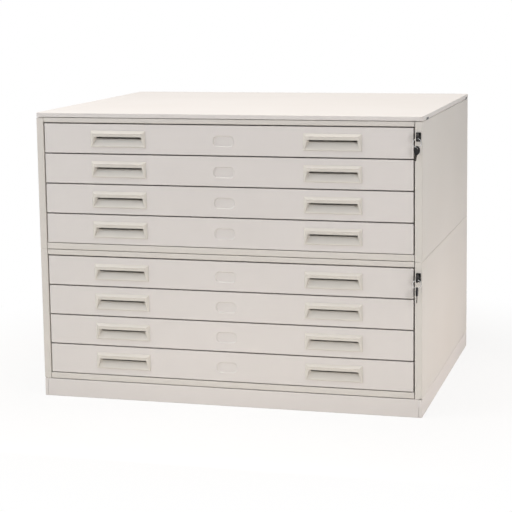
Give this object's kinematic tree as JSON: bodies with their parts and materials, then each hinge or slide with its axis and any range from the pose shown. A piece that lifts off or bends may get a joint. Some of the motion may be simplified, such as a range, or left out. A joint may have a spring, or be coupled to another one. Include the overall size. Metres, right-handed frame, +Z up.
{
  "type": "flat file cabinet",
  "caption": "Floor-standing flat file cabinet: two stacked drawer units of folded steel on a plinth under a lid cap, with hooded cup pulls, slides and key locks.",
  "frame": {"origin": "on the floor, under the middle of the whole length and breadth, hanging keys included", "axes": "+X to the right as seen from the front, -Y out of the drawer fronts, +Z up"},
  "size_m": [1.1028, 0.8952, 0.8185],
  "materials": {
    "powder_coated_steel": "light warm grey powder coat, satin",
    "moulded_handle_plastic": "cream grey moulded plastic, satin",
    "zinc_plated_steel": "bright zinc plating",
    "black_key_plastic": "black moulded key bow; the blade is steel",
    "spring_steel_wire": "bright spring steel wire"
  },
  "bodies": {
    "cabinet": {"lid_cap": "powder_coated_steel", "plinth": "powder_coated_steel", "lower_side_left": "powder_coated_steel", "lower_side_right": "powder_coated_steel", "lower_back_panel": "powder_coated_steel", "lower_base_panel": "powder_coated_steel", "lower_top_rail": "powder_coated_steel", "lower_slide_rack_left": "zinc_plated_steel", "lower_slide_rack_right": "zinc_plated_steel", "lower_lock_housing": "zinc_plated_steel", "upper_side_left": "powder_coated_steel", "upper_side_right": "powder_coated_steel", "upper_back_panel": "powder_coated_steel", "upper_base_panel": "powder_coated_steel", "upper_top_rail": "powder_coated_steel", "upper_slide_rack_left": "zinc_plated_steel", "upper_slide_rack_right": "zinc_plated_steel", "upper_lock_housing": "zinc_plated_steel"},
    "drawer_1": {"drawer_1_front": "powder_coated_steel", "drawer_1_tray": "powder_coated_steel", "drawer_1_handle_left": "moulded_handle_plastic", "drawer_1_handle_right": "moulded_handle_plastic"},
    "drawer_2": {"drawer_2_front": "powder_coated_steel", "drawer_2_tray": "powder_coated_steel", "drawer_2_handle_left": "moulded_handle_plastic", "drawer_2_handle_right": "moulded_handle_plastic"},
    "drawer_3": {"drawer_3_front": "powder_coated_steel", "drawer_3_tray": "powder_coated_steel", "drawer_3_handle_left": "moulded_handle_plastic", "drawer_3_handle_right": "moulded_handle_plastic"},
    "drawer_4": {"drawer_4_front": "powder_coated_steel", "drawer_4_tray": "powder_coated_steel", "drawer_4_handle_left": "moulded_handle_plastic", "drawer_4_handle_right": "moulded_handle_plastic"},
    "drawer_5": {"drawer_5_front": "powder_coated_steel", "drawer_5_tray": "powder_coated_steel", "drawer_5_handle_left": "moulded_handle_plastic", "drawer_5_handle_right": "moulded_handle_plastic"},
    "drawer_6": {"drawer_6_front": "powder_coated_steel", "drawer_6_tray": "powder_coated_steel", "drawer_6_handle_left": "moulded_handle_plastic", "drawer_6_handle_right": "moulded_handle_plastic"},
    "drawer_7": {"drawer_7_front": "powder_coated_steel", "drawer_7_tray": "powder_coated_steel", "drawer_7_handle_left": "moulded_handle_plastic", "drawer_7_handle_right": "moulded_handle_plastic"},
    "drawer_8": {"drawer_8_front": "powder_coated_steel", "drawer_8_tray": "powder_coated_steel", "drawer_8_handle_left": "moulded_handle_plastic", "drawer_8_handle_right": "moulded_handle_plastic"},
    "lower_key_barrel": {"lower_lock_plug": "zinc_plated_steel", "lower_key": "black_key_plastic"},
    "lower_bar": {"lower_lock_bar": "zinc_plated_steel"},
    "lower_ring": {"lower_key_ring": "spring_steel_wire"},
    "lower_spare": {"lower_spare_key": "black_key_plastic"},
    "upper_key_barrel": {"upper_lock_plug": "zinc_plated_steel", "upper_key": "black_key_plastic"},
    "upper_bar": {"upper_lock_bar": "zinc_plated_steel"},
    "upper_ring": {"upper_key_ring": "spring_steel_wire"},
    "upper_spare": {"upper_spare_key": "black_key_plastic"}
  },
  "joints": [
    {"name": "drawer_1_slide", "type": "slide", "parent": "cabinet", "child": "drawer_1", "axis": [0, -1, 0], "range_m": [0, 0.6]},
    {"name": "drawer_2_slide", "type": "slide", "parent": "cabinet", "child": "drawer_2", "axis": [0, -1, 0], "range_m": [0, 0.6]},
    {"name": "drawer_3_slide", "type": "slide", "parent": "cabinet", "child": "drawer_3", "axis": [0, -1, 0], "range_m": [0, 0.6]},
    {"name": "drawer_4_slide", "type": "slide", "parent": "cabinet", "child": "drawer_4", "axis": [0, -1, 0], "range_m": [0, 0.6]},
    {"name": "drawer_5_slide", "type": "slide", "parent": "cabinet", "child": "drawer_5", "axis": [0, -1, 0], "range_m": [0, 0.6]},
    {"name": "drawer_6_slide", "type": "slide", "parent": "cabinet", "child": "drawer_6", "axis": [0, -1, 0], "range_m": [0, 0.6]},
    {"name": "drawer_7_slide", "type": "slide", "parent": "cabinet", "child": "drawer_7", "axis": [0, -1, 0], "range_m": [0, 0.6]},
    {"name": "drawer_8_slide", "type": "slide", "parent": "cabinet", "child": "drawer_8", "axis": [0, -1, 0], "range_m": [0, 0.6]},
    {"name": "lower_key_turn", "type": "hinge", "parent": "cabinet", "child": "lower_key_barrel", "pos_m": [0.5393, -0.41381, 0.387], "axis": [0, -1, 0], "range_deg": [0, 90]},
    {"name": "lower_bar_slide", "type": "slide", "parent": "cabinet", "child": "lower_bar", "axis": [0, 0, -1], "range_m": [0, 0.00848]},
    {"name": "lower_ring_swing", "type": "hinge", "parent": "lower_key_barrel", "child": "lower_ring", "pos_m": [0.5393, -0.43551, 0.38433], "axis": [1, 0, 0], "range_deg": [-20, 8]},
    {"name": "lower_spare_swing", "type": "hinge", "parent": "lower_ring", "child": "lower_spare", "pos_m": [0.5393, -0.43551, 0.36134], "axis": [1, 0, 0], "range_deg": [-10, 10]},
    {"name": "upper_key_turn", "type": "hinge", "parent": "cabinet", "child": "upper_key_barrel", "pos_m": [0.5393, -0.41381, 0.7645], "axis": [0, -1, 0], "range_deg": [0, 90]},
    {"name": "upper_bar_slide", "type": "slide", "parent": "cabinet", "child": "upper_bar", "axis": [0, 0, -1], "range_m": [0, 0.00848]},
    {"name": "upper_ring_swing", "type": "hinge", "parent": "upper_key_barrel", "child": "upper_ring", "pos_m": [0.5393, -0.43551, 0.76195], "axis": [1, 0, 0], "range_deg": [-20, 8]},
    {"name": "upper_spare_swing", "type": "hinge", "parent": "upper_ring", "child": "upper_spare", "pos_m": [0.5393, -0.43551, 0.73895], "axis": [1, 0, 0], "range_deg": [-10, 10]}
  ],
  "couplings": [
    {"joint": "lower_key_turn", "follows": "lower_bar_slide", "rad_per_m": 185.12},
    {"joint": "upper_key_turn", "follows": "upper_bar_slide", "rad_per_m": 185.12}
  ]
}
